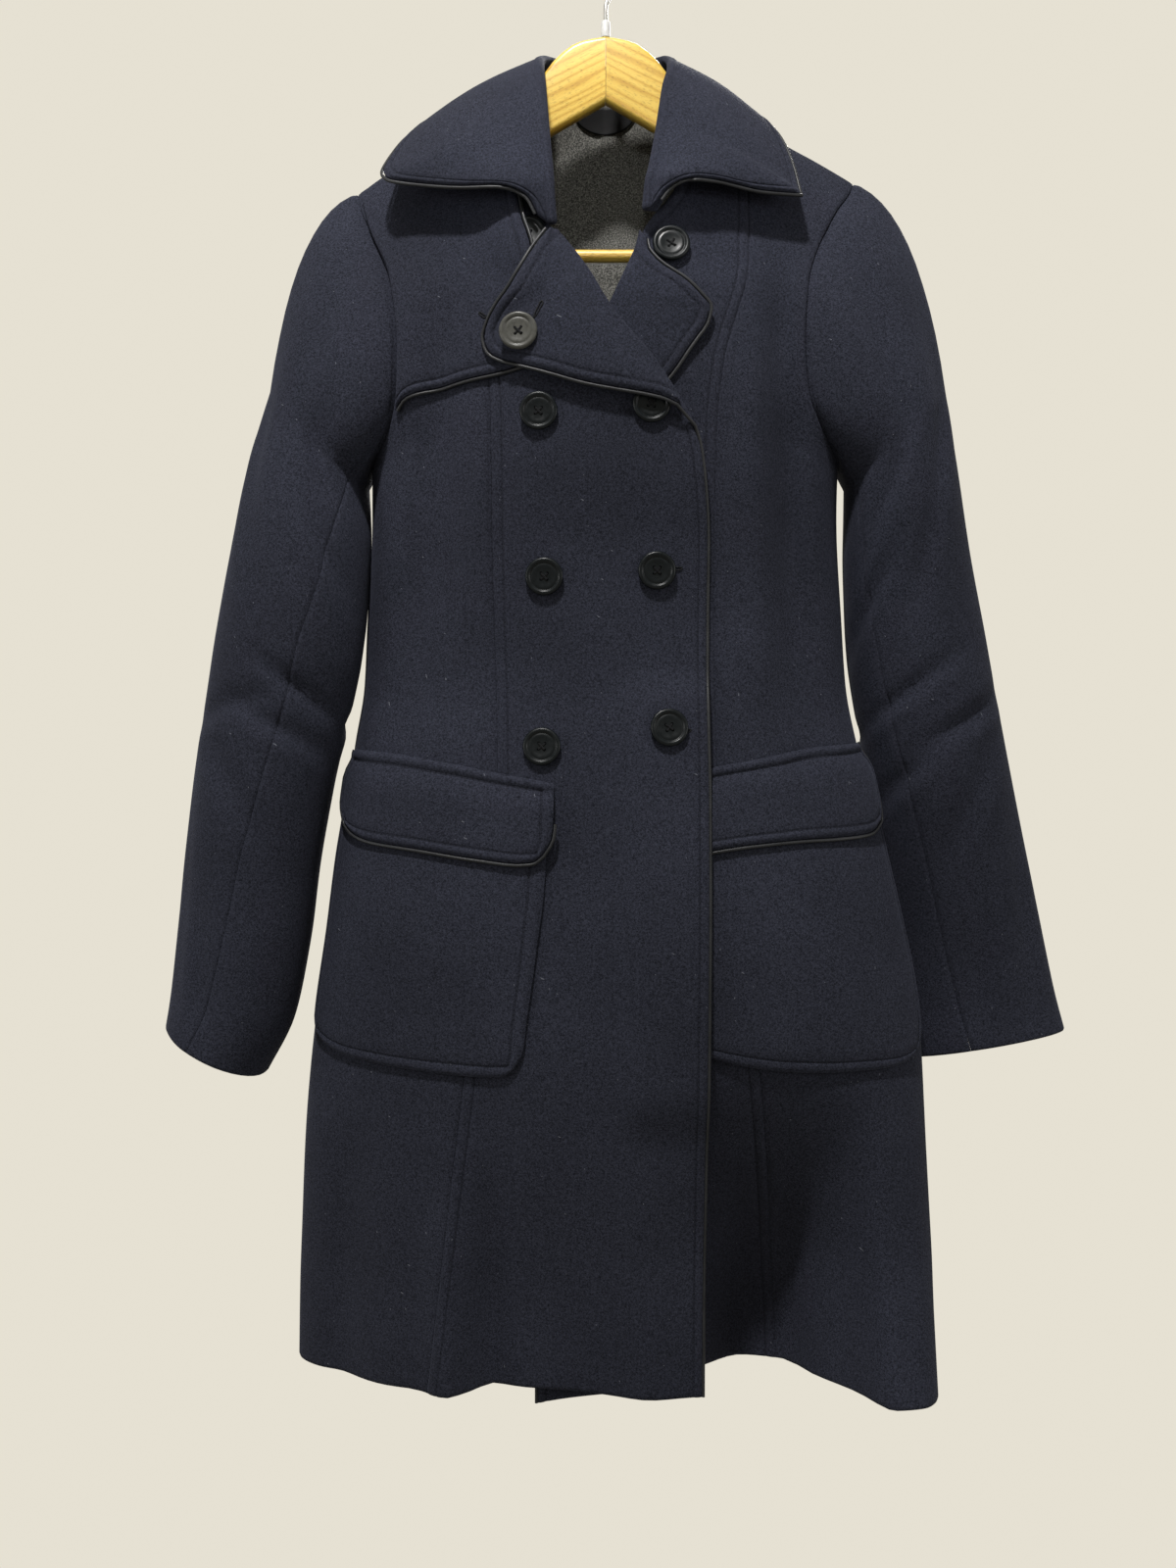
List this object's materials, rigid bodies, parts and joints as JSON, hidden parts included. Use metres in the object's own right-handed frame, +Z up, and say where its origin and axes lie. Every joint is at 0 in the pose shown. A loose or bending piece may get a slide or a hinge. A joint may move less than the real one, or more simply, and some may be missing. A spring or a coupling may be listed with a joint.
{
  "type": "coat on a wooden hanger",
  "caption": "Long double-breasted wool coat with a big piped collar, flapped patch pockets and a storm flap, hung on a wooden hanger.",
  "frame": {"origin": "inside of the crown of the hanger's hook, where the rail bears", "axes": "+Z up, +Y from the coat's front to its back, +X to the wearer's left"},
  "size_m": [0.6812, 0.1741, 1.0813],
  "materials": {
    "navy_melton": "napped wool",
    "dark_plastic": "satin",
    "black_leather": "satin",
    "pale_wood": "varnished",
    "white_plastic": "satin",
    "bright_steel": "polished",
    "black_satin": "satin"
  },
  "bodies": {
    "root": {"back_left": "navy_melton", "back_right": "navy_melton", "button_left_1": "dark_plastic", "button_left_2": "dark_plastic", "button_left_3": "dark_plastic", "button_left_collar": "dark_plastic", "button_right_1": "dark_plastic", "button_right_2": "dark_plastic", "button_right_3": "dark_plastic", "button_right_collar": "dark_plastic", "button_right_lapel": "dark_plastic", "collar": "navy_melton", "hanger_arm_left": "pale_wood", "hanger_arm_right": "pale_wood", "hanger_bar": "pale_wood", "hanger_ferrule": "white_plastic", "hanger_hook": "bright_steel", "left_front_centre": "navy_melton", "left_front_side": "navy_melton", "left_lapel": "navy_melton", "left_pocket": "navy_melton", "left_pocket_flap": "navy_melton", "left_sleeve_top": "navy_melton", "left_sleeve_under": "navy_melton", "neck_label": "black_satin", "piping_collar": "black_leather", "piping_left_flap": "black_leather", "piping_left_front": "black_leather", "piping_right_flap": "black_leather", "piping_right_front": "black_leather", "piping_storm_flap": "black_leather", "right_front_centre": "navy_melton", "right_front_side": "navy_melton", "right_lapel": "navy_melton", "right_pocket": "navy_melton", "right_pocket_flap": "navy_melton", "right_sleeve_top": "navy_melton", "right_sleeve_under": "navy_melton", "storm_flap": "navy_melton"}
  },
  "joints": []
}
